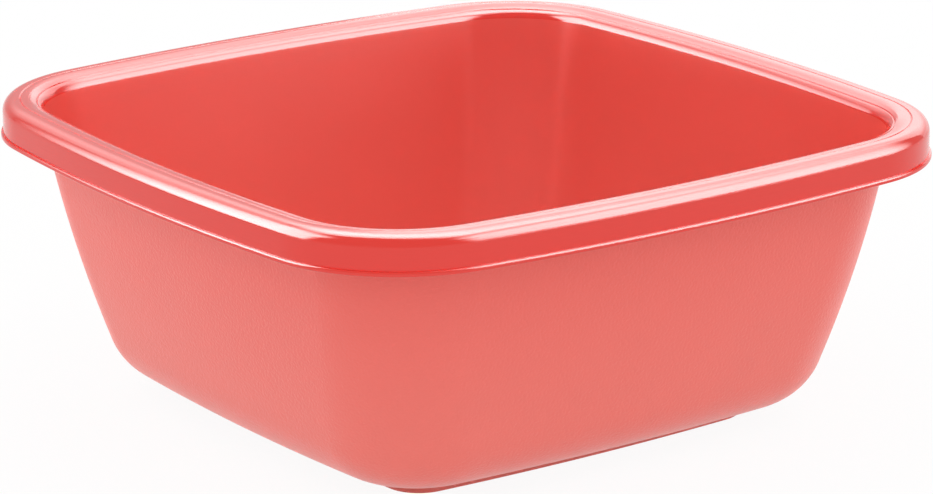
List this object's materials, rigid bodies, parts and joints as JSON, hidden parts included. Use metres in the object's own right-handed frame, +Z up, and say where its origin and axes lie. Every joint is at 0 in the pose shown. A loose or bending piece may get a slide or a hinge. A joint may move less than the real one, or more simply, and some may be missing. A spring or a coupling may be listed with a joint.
{
  "type": "square basin",
  "caption": "Open square washing-up basin with bowed sides, round corners, drafted walls, a rolled rim with a skirt and a foot rib.",
  "frame": {"origin": "middle of the foot rib's underside plane, the level that the basin stands on", "axes": "+Z up through the open top; +X and +Y square to two adjacent sides, which are alike"},
  "size_m": [0.3824, 0.3824, 0.1532],
  "materials": {
    "plastic": "red polypropylene coloured through, glossy rim, satin walls"
  },
  "bodies": {
    "root": {"basin": "plastic"}
  },
  "joints": []
}
